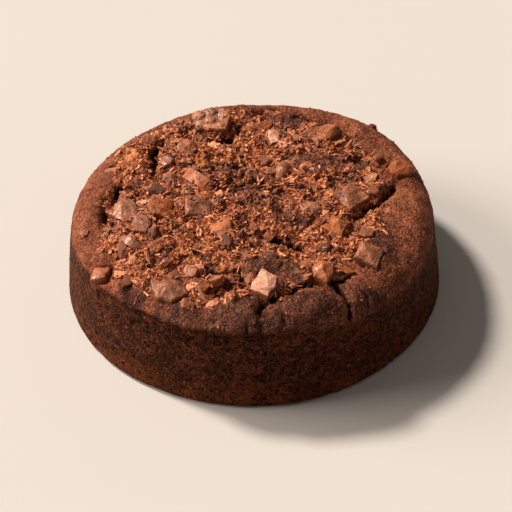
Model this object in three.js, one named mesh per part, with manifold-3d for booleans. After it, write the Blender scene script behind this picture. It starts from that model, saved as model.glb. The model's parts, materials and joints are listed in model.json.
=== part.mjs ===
// Chocolate butter cake baked in a round 20 cm tin: a smooth straight wall with a rounded shoulder,
// a low domed top of crumb and cracks, and broken chocolate set into that top.
// Millimetres, +Z up, the foot's centre at the origin, the front of the cake towards -Y.
import * as THREE from 'three';
import { ConvexGeometry } from 'three/addons/geometries/ConvexGeometry.js';
import { ImprovedNoise } from 'three/addons/math/ImprovedNoise.js';
import { mergeVertices } from 'three/addons/utils/BufferGeometryUtils.js';
import Module from 'manifold-3d';

const wasm = await Module();
wasm.setup();
const { clamp, degToRad, lerp, seededRandom, smoothstep } = THREE.MathUtils;
const noise = new ImprovedNoise();

// ---------------------------------------------------------------- driving dimensions
const FOOT_ROUNDING = 1.6;     // the small round where the wall meets the flat foot
const WALL_WAVE = 0.5;         // slow swell of the baked wall
const SEGMENTS = 88;           // columns round the cake
const WALL_RINGS = 4;
const SHOULDER_RINGS = 6;
const TOP_RINGS = 18;

// One value for each eighth of a turn, from the right (+X) over the back (+Y) and round.
const FOOT_RADIUS = [101, 101, 101, 101, 101, 102, 101, 99.5];
const SHOULDER_RADIUS = [95, 98, 97, 97, 97, 97.5, 97, 96];
const RIM_HEIGHT = [52, 52.5, 49.5, 49, 49, 50, 51, 51];
const ROUNDING = [15, 14, 13, 16, 16, 9, 9, 14];
const CRUMB_EDGE = [70, 74, 82, 84, 80, 88, 84, 70];

const DOME = 3.5;              // how far the middle stands above the rim
const CRAG = { height: 2.4, size: 13 };
const CRUMB = { height: 1.5, size: 6.5 };
const LIP = { height: 1.5, from: 190, to: 290 };   // thin ridge of crust round the front left
const GAP = 0.3;               // clearance between a chunk and its pocket
const CLEARANCE_SHARE = 2.4;   // both sides of the gap, and a little over for faces that slant
const SIMPLIFY = 0.05;         // edges shorter than this are closed up after the cuts

// Swells of the crust: place, half widths and height.
const MOUNDS = [
  { x: 23, y: -82, across: 20, along: 12, height: 3.2 },
  { x: -8, y: -83, across: 15, along: 12, height: 3 },
  { x: -15, y: -66, across: 9, along: 7, height: 2 },
  { x: 8, y: -59, across: 17, along: 9, height: 2 },
  { x: 34, y: 22, across: 13, along: 10, height: 3 },
  { x: 17, y: 68, across: 16, along: 7, height: 2.5 },
  { x: -4, y: 0, across: 12, along: 7, height: 1.5 },
  { x: -80, y: -8, across: 6, along: 8, height: 2 },
  { x: 62, y: -38, across: 8, along: 16, height: 1.5 },
  { x: -12, y: -32, across: 10, along: 10, height: 2.5 },
];

// Cracks and sunken gaps: the line that each follows, its half width and depth.
const CREASES = [
  { path: [[-2, 78], [12, 81], [24, 76], [40, 67], [50, 60]], width: 5, depth: 8 },
  { path: [[49, -32], [52, -17], [62, -8], [69, 2], [74, 9]], width: 2.6, depth: 6 },
  { path: [[-71, 10], [-74, 0], [-77, -10], [-73, -18]], width: 4, depth: 7 },
  { path: [[-50, 50], [-55, 40], [-55, 26], [-51, 12]], width: 3, depth: 6 },
  { path: [[-38, 60], [-34, 54], [-20, 49], [-10, 58]], width: 3.5, depth: 7 },
  { path: [[-22, 5], [-10, 7], [4, 9]], width: 3, depth: 4 },
  { path: [[5, -33], [15, -39], [27, -43]], width: 3, depth: 4.5 },
  { path: [[-27, -65], [-19, -61], [-6, -62], [-4, -70]], width: 2.6, depth: 3.5 },
  { path: [[-20, -81], [-17, -76], [-12, -73], [-3, -76]], width: 2.6, depth: 3.5 },
  { path: [[26, -69], [15, -76], [5, -84]], width: 2.6, depth: 3.5 },
  { path: [[39, -66], [42, -74], [45, -84]], width: 2.6, depth: 3 },
  { path: [[8, 58], [20, 50], [26, 38]], width: 3, depth: 3 },
];

// Materials, with the colour, roughness and metalness of each chocolate and of the crust.
const FINISH = {
  crust: { color: 0x6b3d2b, roughness: 0.85 },
  pale: { color: 0xc39a8c, roughness: 0.35 },
  milk: { color: 0x8f6250, roughness: 0.4 },
  amber: { color: 0x94512a, roughness: 0.38 },
  grey: { color: 0x5f473e, roughness: 0.5 },
  dark: { color: 0x43291e, roughness: 0.45 },
};

// Broken chocolate: place of the middle, how far each corner of its outline reaches (at even angles
// from its own +X over +Y), thickness, turn about Z, tips about its own X and Y, how far the top
// stands above the crust, and crests: points of the lid that stand higher. Angles in degrees.
const CHUNKS = [
  { name: 'chunk_back_flat', x: 4, y: 61, reach: [7.5, 4.5, 4.5, 7.5, 4, 4], thick: 4, turn: 10,
    tip: [14, 0], rise: 2.4, tone: 'amber' },
  { name: 'chunk_back_pale', x: 10.5, y: 46.5, reach: [4.5, 6, 6, 4.5, 6.5, 5], thick: 8, turn: 10,
    tip: [12, 12], rise: 3.6, tone: 'pale' },
  { name: 'chunk_back_amber', x: 37.5, y: 49.5, reach: [11.5, 7.5, 7, 11.5, 8, 8], thick: 12, turn: 5,
    tip: [2, -4], rise: 3.6, crests: [[-8.5, 1, 2.6], [8.5, 1.5, 2.4]], tone: 'amber' },
  { name: 'chunk_rim_amber', x: 77.5, y: 20.5, reach: [8.5, 6.5, 6.5, 9, 6.5, 6.5], thick: 11, turn: 10,
    tip: [8, 6], rise: 3.4, crests: [[-3, 2, 1.3], [4, -1, 1]], tone: 'amber' },
  { name: 'chunk_right_flat', x: 61, y: 13.5, reach: [5.5, 4.5, 4, 5, 4, 4.5], thick: 4, turn: 24,
    tip: [8, -8], rise: 2.4, tone: 'milk' },
  { name: 'chunk_right_grey', x: 49.5, y: -5, reach: [10.8, 9, 10, 10.2], thick: 10, turn: -4,
    tip: [12, 4], rise: 3.2, crests: [[-4, 1, 1.4]], tone: 'grey' },
  { name: 'chunk_right_glossy', x: 40, y: -26, reach: [8, 6.5, 8, 9.5], thick: 10, turn: 18,
    tip: [12, 8], rise: 3.4, crests: [[2, 1, 1.4]], tone: 'amber' },
  { name: 'chunk_right_plate', x: 28.5, y: -14, reach: [6.5, 4.5, 5, 6, 4.5, 4.5], thick: 4, turn: -10,
    tip: [8, 4], rise: 1.9, tone: 'milk' },
  { name: 'chunk_pyramid', x: 55, y: -48.5, reach: [9.6, 8.4, 8.4, 10], thick: 12, turn: 24,
    tip: [12, 4], rise: 3.8, crests: [[-1, 1.5, 1.2]], tone: 'dark' },
  { name: 'chunk_right_small', x: 56, y: -33.5, reach: [4.5, 4.5, 4.5, 5, 4, 4.5], thick: 6, turn: 15,
    tip: [0, 6], rise: 2.6, tone: 'grey' },
  { name: 'chunk_front_sliver', x: 44.8, y: -59, reach: [5, 2.8, 2.8, 4.5, 2.6, 2.8], thick: 3, turn: -20,
    tip: [10, 0], rise: 1.7, tone: 'amber' },
  { name: 'chunk_crust_flap', x: 34, y: -44.5, reach: [5, 3, 3, 4.5, 3, 3], thick: 4, turn: 24,
    tip: [20, 0], rise: 3.2, tone: 'dark' },
  { name: 'chunk_front_cube', x: 33, y: -61.5, reach: [5.5, 7.2, 7, 5.8, 7, 8.2], thick: 11, turn: -20,
    tip: [6, 8], rise: 4.2, crests: [[-1.5, 1, 1.7]], tone: 'amber' },
  { name: 'chunk_front_pale', x: 4.5, y: -73, reach: [8, 10, 5.5, 9.5, 10, 6], thick: 10, turn: 38,
    tip: [4, 10], rise: 4, crests: [[2, 1, 1.2]], tone: 'pale' },
  { name: 'chunk_front_dark', x: -40, y: -73, reach: [10.5, 7.5, 7.5, 10.5, 8.5, 8.5], thick: 12, turn: -20,
    tip: [8, 4], rise: 4, crests: [[3, 2.5, 1.3], [-4, 0, 1]], tone: 'dark' },
  { name: 'chunk_left_corner', x: -74, y: -57, reach: [6.6, 6, 6.8, 6.2], thick: 8, turn: 40,
    tip: [-6, -16], rise: 1.6, crests: [[0, 0, 1.3]], tone: 'milk' },
  { name: 'chunk_left_slab', x: -66.5, y: -11, reach: [8, 10, 7, 7.5, 11, 9], thick: 9, turn: 27,
    tip: [10, -6], rise: 2.6, crests: [[-1, 2, 1.4]], tone: 'milk' },
  { name: 'chunk_left_olive', x: -57.4, y: -24.8, reach: [6.5, 6.4, 6.2, 5, 7, 7.5], thick: 8, turn: 0,
    tip: [8, -4], rise: 2.2, crests: [[1, -1, 0.8]], tone: 'dark' },
  { name: 'chunk_left_glossy', x: -48, y: -12.5, reach: [7, 7.5, 7, 8, 7, 8.5], thick: 10, turn: 0,
    tip: [8, 8], rise: 3.2, crests: [[-1.5, 1.5, 1.5], [2.5, -1.5, 1.1]], tone: 'amber' },
  { name: 'chunk_middle_grey', x: -29, y: -12, reach: [10.5, 9.8, 9.4, 9], thick: 11, turn: 48,
    tip: [12, -4], rise: 3.4, crests: [[2, 2, 1.3]], tone: 'grey' },
  { name: 'chunk_left_cube', x: -50.2, y: 2.8, reach: [5.6, 5.4, 5.8, 5.4], thick: 7, turn: 20,
    tip: [0, 8], rise: 3, tone: 'dark' },
  { name: 'chunk_left_facet', x: -45, y: 13.8, reach: [5, 5.5, 4.8, 4.5, 5.5, 4.8], thick: 6, turn: 40,
    tip: [12, 8], rise: 2.6, crests: [[0.5, 0, 0.9]], tone: 'milk' },
  { name: 'chunk_back_grey', x: -46.5, y: 26.5, reach: [4.5, 5, 5.5, 4.5, 5, 4.5], thick: 7, turn: 10,
    tip: [8, -12], rise: 3, tone: 'grey' },
  { name: 'chunk_back_facet', x: -37, y: 40, reach: [7, 6.5, 7, 6.5, 6.5, 7], thick: 8, turn: -10,
    tip: [14, 4], rise: 2.8, crests: [[1.5, 1.5, 1.3]], tone: 'amber' },
  { name: 'chunk_left_wedge', x: -48.6, y: -44, reach: [4.5, 4.5, 5, 5, 4, 4], thick: 7, turn: -10,
    tip: [14, 6], rise: 3.6, tone: 'dark' },
  { name: 'plate_middle', x: -17.5, y: -31, reach: [7, 8.5, 5.5, 5.5, 6.5, 8], thick: 4, turn: -15,
    tip: [6, -4], rise: 1.8, tone: 'milk' },
  { name: 'plate_front_red', x: -30.5, y: -60, reach: [4, 4.5, 5, 4, 6, 5], thick: 5, turn: 0,
    tip: [10, 0], rise: 2.4, tone: 'milk' },
  { name: 'plate_front_amber', x: -24.3, y: -71.5, reach: [4, 5, 4.5, 3.5, 6.3, 4.5], thick: 5, turn: -10,
    tip: [12, 6], rise: 2.6, tone: 'amber' },
];
const SPREAD = 1.06;           // how much wider a block is at its hidden foot than at its lid
const WORN = 0.9;              // width of the slanted strip round a lid
const JAG = 0.45;              // how far a lid's corners lie off one plane

const PEBBLE = { name: 'chunk_pebble', x: 15, y: 16.5, size: [9.5, 16, 11], turn: -8, tip: [18, 6], rise: 5.5,
  tone: 'pale' };

const CROWN = { name: 'chunk_back_crown', x: -23.5, y: 64.5, reach: [11.5, 11, 11, 12, 8.5, 11.5], thick: 13,
  turn: 15, tip: [10, -4], rise: 5.6, tone: 'milk' };
const CROWN_KNOBS = [
  { at: [-6.5, 5, 5.2], radius: 4.6 },
  { at: [1, 5.5, 5.4], radius: 4.4 },
  { at: [6.5, 1.5, 5], radius: 4.2 },
  { at: [-1, -0.5, 5.4], radius: 4.2 },
  { at: [-7, -1.5, 4.8], radius: 4 },
  { at: [3.5, -5, 4.8], radius: 3.8 },
];
const KNOB_FLATNESS = 0.62;

const CURLS = [
  { name: 'curl_left', x: -29.5, y: 9.5, size: [20, 7, 7], turn: -44, tip: [34, 0], rise: 4.2, tone: 'amber' },
  { name: 'curl_front', x: -61, y: -40, size: [15, 4.5, 6], turn: -38, tip: [26, 0], rise: 4, tone: 'milk' },
];
const CURL_SHEET = 0.28;       // a curl's thickness as a share of its height
const CHIP = [0.74, 1.02];     // how far each corner of a small sliver reaches, as a share

// Small pieces that are baked fast to the crust: place, size, turn and tip.
const BAKED_FLAKES = [
  { x: -3, y: 69.5, size: [8, 6, 5], turn: 30, tip: 20 },
  { x: -58.5, y: 47, size: [6, 8, 4], turn: 10, tip: 30 },
  { x: -65, y: 8.5, size: [10, 3, 2.5], turn: -8, tip: 6 },
  { x: -56, y: 4, size: [8, 3, 2.5], turn: 34, tip: 12 },
  { x: -52, y: -52, size: [8, 3, 2.5], turn: 12, tip: 10 },
  { x: -43, y: -56, size: [6, 5, 3], turn: 40, tip: 20 },
  { x: -31, y: -84, size: [6, 9, 3.5], turn: 20, tip: 24 },
  { x: -23, y: -80, size: [11, 3, 3], turn: 50, tip: 14 },
  { x: -17, y: -70, size: [8, 6, 4], turn: -20, tip: 20 },
  { x: -10, y: -81, size: [4, 6, 3], turn: 4, tip: 6 },
  { x: -62, y: -67, size: [6, 5, 3], turn: 24, tip: 16 },
  { x: -86, y: -27, size: [6, 5, 3], turn: 70, tip: 12 },
  { x: 66, y: 30, size: [7, 8, 4], turn: 20, tip: 24 },
  { x: 67, y: 65, size: [5, 4.5, 3.2], turn: 10, tip: 20 },
  { x: -7, y: -36, size: [5, 4, 5], turn: 10, tip: 10 },
  { x: 24, y: 36, size: [8, 5, 3], turn: 60, tip: 14 },
];
const SLIVER_TAPER = 0.8;
const SCATTERED_FLAKES = 64;
const FLAKE_SIZE = { long: [5, 10], wide: [2.5, 5], thick: [2, 3.4] };
const SEED = 90210;

// ---------------------------------------------------------------- solids
/** Closed solid from a geometry whose faces meet at shared corners. */
function toSolid(geometry) {
  const bare = geometry.clone();
  bare.deleteAttribute('normal');
  bare.deleteAttribute('uv');
  const merged = mergeVertices(bare, 1e-3);
  const corners = merged.index.array;
  const triVerts = [];
  for (let i = 0; i < corners.length; i += 3) {
    const [a, b, c] = [corners[i], corners[i + 1], corners[i + 2]];
    if (a !== b && b !== c && c !== a) triVerts.push(a, b, c);
  }
  return new wasm.Manifold(new wasm.Mesh({
    numProp: 3,
    vertProperties: new Float32Array(merged.attributes.position.array),
    triVerts: new Uint32Array(triVerts),
  }));
}

/** Buffer geometry of a solid. */
function toGeometry(solid) {
  const { vertProperties, triVerts } = solid.getMesh();
  const geometry = new THREE.BufferGeometry();
  geometry.setAttribute('position', new THREE.BufferAttribute(vertProperties, 3));
  geometry.setIndex(new THREE.BufferAttribute(triVerts, 1));
  geometry.computeVertexNormals();
  return geometry;
}

/** The largest of the pieces that a solid falls into, so that no crumb of scrap stays behind. */
function largestPiece(solid) {
  const pieces = solid.decompose();
  return pieces.reduce((best, piece) => (piece.volume() > best.volume() ? piece : best));
}

/** Solid moved by a matrix. */
function placed(solid, matrix) {
  return solid.transform(matrix.elements);
}

// ---------------------------------------------------------------- shape of the crust
/** Value at an angle, eased between the eight values given round the cake. */
function around(values, angle) {
  const turns = ((angle / (2 * Math.PI)) % 1 + 1) % 1 * values.length;
  const first = Math.floor(turns);
  const ease = smoothstep(turns - first, 0, 1);
  return lerp(values[first % values.length], values[(first + 1) % values.length], ease);
}

/** Shortest distance in plan from a point to a line through given places. */
function distanceToPath(x, y, path) {
  let nearest = Infinity;
  for (let i = 1; i < path.length; i += 1) {
    const [ax, ay] = path[i - 1];
    const [dx, dy] = [path[i][0] - ax, path[i][1] - ay];
    const along = clamp(((x - ax) * dx + (y - ay) * dy) / (dx * dx + dy * dy), 0, 1);
    nearest = Math.min(nearest, Math.hypot(x - ax - along * dx, y - ay - along * dy));
  }
  return nearest;
}

/** Height that crags, crumb, swells and cracks add at a place on the top. */
function reliefAt(x, y) {
  const edge = around(CRUMB_EDGE, Math.atan2(y, x));
  const rough = 1 - smoothstep(Math.hypot(x, y), edge - 8, edge + 5);
  let height = rough * CRAG.height * noise.noise(x / CRAG.size, y / CRAG.size, 0.5);
  height += rough * CRUMB.height * noise.noise(x / CRUMB.size, y / CRUMB.size, 7.5);
  for (const mound of MOUNDS) {
    const reach = ((x - mound.x) / mound.across) ** 2 + ((y - mound.y) / mound.along) ** 2;
    height += mound.height * Math.exp(-reach);
  }
  for (const crease of CREASES) {
    const reach = distanceToPath(x, y, crease.path) / crease.width;
    height -= crease.depth * Math.exp(-reach * reach);
  }
  return height;
}

/** Height of the crust at a place, over the low dome and down the rounded shoulder. */
function topHeight(x, y) {
  const angle = Math.atan2(y, x);
  const rounding = around(ROUNDING, angle);
  const inner = around(SHOULDER_RADIUS, angle) - rounding;
  const reach = Math.min(1, Math.hypot(x, y) / inner);
  const middle = RIM_HEIGHT.reduce((sum, value) => sum + value, 0) / RIM_HEIGHT.length + DOME;
  const over = clamp(Math.hypot(x, y) - inner, 0, rounding);
  const fall = rounding - Math.sqrt(rounding * rounding - over * over);
  return lerp(middle, around(RIM_HEIGHT, angle), reach * reach) - fall + reliefAt(x, y);
}

/** How strongly the ridge of crust stands out at an angle. */
function lipAt(angle) {
  const degrees = (THREE.MathUtils.radToDeg(angle) + 360) % 360;
  return smoothstep(degrees, LIP.from, LIP.from + 25) * (1 - smoothstep(degrees, LIP.to - 25, LIP.to));
}

/** Section of the cake at an angle, from the middle of the foot to the middle of the top. */
function sectionAt(angle) {
  const shoulder = around(SHOULDER_RADIUS, angle);
  const rounding = around(ROUNDING, angle);
  const rim = around(RIM_HEIGHT, angle);
  const inner = shoulder - rounding;
  const foot = around(FOOT_RADIUS, angle);
  const swell = WALL_WAVE * noise.noise(3 * Math.cos(angle), 3 * Math.sin(angle), 2.5);
  const section = [
    new THREE.Vector2(0, 0),
    new THREE.Vector2(foot - FOOT_ROUNDING, 0),
  ];
  for (let ring = 0; ring < WALL_RINGS; ring += 1) {
    const rise = ring / WALL_RINGS;
    const leaning = lerp(foot, shoulder, rise) + swell * Math.sin(Math.PI * rise);
    section.push(new THREE.Vector2(leaning, lerp(FOOT_ROUNDING, rim - rounding, rise)));
  }
  for (let ring = 0; ring < SHOULDER_RINGS; ring += 1) {
    const bend = 0.5 * Math.PI * (ring / SHOULDER_RINGS);
    const reach = inner + rounding * Math.cos(bend);
    const relief = Math.sin(bend) * reliefAt(reach * Math.cos(angle), reach * Math.sin(angle));
    const lip = LIP.height * lipAt(angle) * (ring === 2 ? 1 : 0);
    section.push(new THREE.Vector2(
      reach + lip * Math.cos(bend),
      rim - rounding + rounding * Math.sin(bend) + lip * Math.sin(bend) + relief,
    ));
  }
  for (let ring = TOP_RINGS; ring > 0; ring -= 1) {
    const reach = inner * (ring / TOP_RINGS);
    section.push(new THREE.Vector2(reach, topHeight(reach * Math.cos(angle), reach * Math.sin(angle))));
  }
  section.push(new THREE.Vector2(0, topHeight(0, 0)));
  return section;
}

/** The bare cake: a lathe whose section changes as it goes round. */
function makeBody() {
  const geometry = new THREE.LatheGeometry(sectionAt(0), SEGMENTS);
  const position = geometry.attributes.position;
  const rings = position.count / (SEGMENTS + 1);
  for (let column = 0; column <= SEGMENTS; column += 1) {
    const angle = 2 * Math.PI * ((column % SEGMENTS) / SEGMENTS);
    const section = sectionAt(angle);
    for (let ring = 0; ring < rings; ring += 1) {
      const { x: reach, y: height } = section[ring];
      const [x, y] = [reach * Math.cos(angle), reach * Math.sin(angle)];
      position.setXYZ(column * rings + ring, x, y, height);
    }
  }
  return toSolid(geometry);
}

// ---------------------------------------------------------------- chocolate
/** Size of a piece along its own axes: given, or taken from the reach of its corners. */
function sizeOf({ size, reach, thick }) {
  if (size) return size;
  const across = (2 * reach.reduce((sum, radius) => sum + radius, 0)) / reach.length;
  return [across, across, thick];
}

/** Matrix that sets a piece on the crust, turned and tipped, with its top at its rise. */
function seatOf(piece) {
  const [, , thick] = sizeOf(piece);
  const [tipX, tipY] = piece.tip.map(degToRad);
  const turn = new THREE.Euler(tipX, tipY, degToRad(piece.turn), 'ZYX');
  const height = topHeight(piece.x, piece.y) + piece.rise - thick / 2;
  return new THREE.Matrix4().compose(
    new THREE.Vector3(piece.x, piece.y, height),
    new THREE.Quaternion().setFromEuler(turn),
    new THREE.Vector3(1, 1, 1),
  );
}

/** Number between two limits, the next of the seeded row. */
function between([low, high]) {
  return lerp(low, high, seededRandom());
}

/** Broken block of chocolate: a ragged outline with a worn lid, wider at its hidden foot. */
function makeBlock({ reach, thick, crests = [] }) {
  const corners = crests.map(([x, y, lift]) => new THREE.Vector3(x, y, thick / 2 + lift));
  const worn = Math.min(WORN, thick / 6);
  reach.forEach((radius, corner) => {
    const angle = (2 * Math.PI * corner) / reach.length;
    const jag = between([-JAG, JAG]);
    for (const [distance, height] of [
      [radius - worn, thick / 2 + jag], [radius, thick / 2 - worn + jag], [SPREAD * radius, -thick / 2]]) {
      corners.push(new THREE.Vector3(distance * Math.cos(angle), distance * Math.sin(angle), height));
    }
  });
  return toSolid(new ConvexGeometry(corners));
}

/** Rounded pebble: a faceted ball drawn out to size. */
function makePebble(piece) {
  const ball = new THREE.IcosahedronGeometry(0.5, 1);
  ball.scale(...piece.size);
  return toSolid(ball);
}

/** Knobbly lump: a block with half-melted knobs on its top. */
function makeCrown(piece) {
  let lump = makeBlock(piece);
  for (const { at, radius } of CROWN_KNOBS) {
    const knob = new THREE.IcosahedronGeometry(radius, 1);
    knob.scale(1, 1, KNOB_FLATNESS);
    knob.translate(...at);
    lump = lump.add(toSolid(knob));
  }
  return lump;
}

/** Curved shaving: a bowed strip with its tips at the local origin's height and its crest above. */
function makeCurl(piece) {
  const [long, wide, high] = piece.size;
  const sheet = CURL_SHEET * high;
  const bow = new THREE.Shape();
  bow.moveTo(-long / 2, 0);
  bow.quadraticCurveTo(0, high, long / 2, 0);
  bow.lineTo(long / 2 - sheet, -sheet / 2);
  bow.quadraticCurveTo(0, high - 2 * sheet, -long / 2 + sheet, -sheet / 2);
  const strip = new THREE.ExtrudeGeometry(bow, { depth: wide, bevelEnabled: false, curveSegments: 6 });
  strip.translate(0, 0, -wide / 2);
  strip.rotateX(Math.PI / 2);
  return toSolid(strip);
}

/** The space that a seated piece takes up: the convex shape round it, with clearance on every side. */
function pocketOf(solid, piece, seat) {
  const { vertProperties } = solid.getMesh();
  const grown = new THREE.Vector3(...sizeOf(piece).map((side) => 1 + (CLEARANCE_SHARE * GAP) / side));
  const corners = [];
  for (let i = 0; i < vertProperties.length; i += 3) {
    corners.push(new THREE.Vector3().fromArray(vertProperties, i).multiply(grown).applyMatrix4(seat));
  }
  return toSolid(new ConvexGeometry(corners));
}

// ---------------------------------------------------------------- small pieces baked to the crust
/** Jagged sliver of chocolate or crust, half sunk where it lies. */
function makeFlake({ x, y, size, turn, tip }) {
  const corners = [];
  for (const [i, j, k] of [[1, 1, 1], [1, 1, -1], [1, -1, 1], [1, -1, -1],
    [-1, 1, 1], [-1, 1, -1], [-1, -1, 1], [-1, -1, -1]]) {
    const narrow = k > 0 ? SLIVER_TAPER : 1;
    corners.push(new THREE.Vector3(
      i * 0.5 * size[0] * narrow * between(CHIP),
      j * 0.5 * size[1] * narrow * between(CHIP),
      k * 0.5 * size[2] * between(CHIP),
    ));
  }
  const seat = seatOf({ x, y, size, turn, tip: [tip, -0.6 * tip], rise: 0.62 * size[2] });
  return placed(toSolid(new ConvexGeometry(corners)), seat);
}

/** Slivers scattered at random over the crumb, the largest first. */
function scatterFlakes() {
  const flakes = [];
  for (let count = 0; count < SCATTERED_FLAKES; count += 1) {
    const share = 1 - count / SCATTERED_FLAKES;
    const angle = between([0, 2 * Math.PI]);
    const reach = Math.sqrt(between([0.004, 1])) * (around(CRUMB_EDGE, angle) - 3);
    flakes.push({
      x: reach * Math.cos(angle),
      y: reach * Math.sin(angle),
      size: [FLAKE_SIZE.long, FLAKE_SIZE.wide, FLAKE_SIZE.thick].map(([low, high]) => (
        lerp(low, high, share) * between([0.85, 1.15]))),
      turn: between([0, 360]),
      tip: between([-32, 32]),
    });
  }
  return flakes;
}

// ---------------------------------------------------------------- assembly
/** Mesh of one piece with its own material. */
function makeMesh(name, solid, tone) {
  const finish = new THREE.MeshStandardMaterial({ ...FINISH[tone], metalness: 0 });
  const mesh = new THREE.Mesh(toGeometry(solid), finish);
  mesh.name = name;
  return mesh;
}

/** Every loose piece of chocolate as its solid, its pocket and its description. */
function makeChocolate() {
  const makers = [
    ...CHUNKS.map((piece) => [piece, makeBlock]),
    ...CURLS.map((piece) => [piece, makeCurl]),
    [PEBBLE, makePebble],
    [CROWN, makeCrown],
  ];
  return makers.map(([piece, make]) => {
    const loose = make(piece);
    const seat = seatOf(piece);
    return { piece, solid: placed(loose, seat), pocket: pocketOf(loose, piece, seat) };
  });
}

/** The cake with its baked-on slivers and a pocket for every piece of chocolate. */
function makeCake(chocolate) {
  let cake = makeBody();
  for (const flake of [...BAKED_FLAKES, ...scatterFlakes()]) cake = cake.add(makeFlake(flake));
  for (const { pocket } of chocolate) cake = cake.subtract(pocket);
  return largestPiece(largestPiece(cake).simplify(SIMPLIFY));
}

seededRandom(SEED);
const chocolate = makeChocolate();
const group = new THREE.Group();
group.add(makeMesh('cake', makeCake(chocolate), 'crust'));
for (const { piece, solid } of chocolate) group.add(makeMesh(piece.name, solid, piece.tone));

export default group;
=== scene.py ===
"""Chocolate butter cake: crumb, crust, baked-in chocolate, shavings and the studio round it.

Lengths are metres and the origin is the middle of the cake's foot, with the front towards -Y.
"""
import json
import logging
import math
import random
from dataclasses import dataclass, field
from enum import Enum
from typing import Iterable, Sequence

import bmesh
import bpy
import numpy as np
from mathutils import Euler, Matrix, Vector, noise
from mathutils.bvhtree import BVHTree


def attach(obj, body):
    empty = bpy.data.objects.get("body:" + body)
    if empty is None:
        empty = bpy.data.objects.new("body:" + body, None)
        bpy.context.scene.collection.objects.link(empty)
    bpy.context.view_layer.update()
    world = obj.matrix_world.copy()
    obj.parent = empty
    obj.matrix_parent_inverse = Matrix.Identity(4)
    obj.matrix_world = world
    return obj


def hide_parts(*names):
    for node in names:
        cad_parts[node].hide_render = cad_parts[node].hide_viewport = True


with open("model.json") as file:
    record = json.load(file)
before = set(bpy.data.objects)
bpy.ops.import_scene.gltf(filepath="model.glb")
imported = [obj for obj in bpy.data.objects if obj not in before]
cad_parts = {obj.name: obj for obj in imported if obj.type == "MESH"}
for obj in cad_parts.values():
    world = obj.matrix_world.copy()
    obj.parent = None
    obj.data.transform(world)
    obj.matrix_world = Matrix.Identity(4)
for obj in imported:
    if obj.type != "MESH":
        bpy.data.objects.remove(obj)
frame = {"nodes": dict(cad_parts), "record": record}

log = logging.getLogger("butter_cake")
MM = 0.001
DOWN = Vector((0, 0, -1))
ABOVE = 100 * MM
MARKS = ("crumb", "patch", "hollow", "wall", "foot")
Net = bmesh.types.BMesh
Piece = bpy.types.Object
Material = bpy.types.Material
Colour = tuple[float, float, float, float]
Pair = tuple[float, float]
Triple = tuple[float, float, float]
Shape = tuple[np.ndarray, np.ndarray]


def linear(value: int) -> float:
    """Linear share of a display value between 0 and 255."""
    share = value / 255
    return share / 12.92 if share <= 0.04045 else ((share + 0.055) / 1.055) ** 2.4


def srgb(red: int, green: int, blue: int) -> Colour:
    """Linear colour, with alpha 1, of a colour given in display values."""
    return linear(red), linear(green), linear(blue), 1.0


def smooth(value: float, low: float, high: float) -> float:
    """Eased step: 0 below low, 1 above high."""
    share = min(1.0, max(0.0, (value - low) / (high - low)))
    return share * share * (3 - 2 * share)


# ---- shader arithmetic
class Wire:
    """An output of a shader node that takes part in Python arithmetic."""

    def __init__(self, recipe: "Recipe", socket: bpy.types.NodeSocket) -> None:
        """Wraps a socket of a recipe's node tree."""
        self.recipe = recipe
        self.socket = socket

    def _math(self, operation: str, first: object, second: object, clamp: bool = False) -> "Wire":
        """Math node on two wires or numbers; clamp holds its result between 0 and 1."""
        settings = {"operation": operation, "use_clamp": clamp}
        return self.recipe.add("ShaderNodeMath", settings, {0: first, 1: second})

    def __add__(self, other: object) -> "Wire":
        """Sum."""
        return self._math("ADD", self, other)

    __radd__ = __add__

    def __sub__(self, other: object) -> "Wire":
        """Difference."""
        return self._math("SUBTRACT", self, other)

    def __rsub__(self, other: object) -> "Wire":
        """Difference, from a number."""
        return self._math("SUBTRACT", other, self)

    def __mul__(self, other: object) -> "Wire":
        """Product."""
        return self._math("MULTIPLY", self, other)

    __rmul__ = __mul__

    def clamped(self) -> "Wire":
        """The value held between 0 and 1."""
        return self._math("ADD", self, 0.0, clamp=True)

    def step(self, low: float, high: float) -> "Wire":
        """Eased step of the value from 0 at low to 1 at high."""
        settings = {"interpolation_type": "SMOOTHSTEP"}
        return self.recipe.add("ShaderNodeMapRange", settings, {0: self, 1: low, 2: high, 3: 0.0, 4: 1.0})


@dataclass(frozen=True)
class Tones:
    """Linear colours of one stuff, from the low to the high values of its grain."""

    dark: Colour
    mid: Colour
    light: Colour

    @classmethod
    def about(cls, colour: Colour, light: float, dark: float = 0.55) -> "Tones":
        """Tones about a colour, which is multiplied by dark at one end and by light at the other."""
        low, high = ((*(min(1.0, part * share) for part in colour[:3]), 1.0) for share in (dark, light))
        return cls(low, colour, high)


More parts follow.
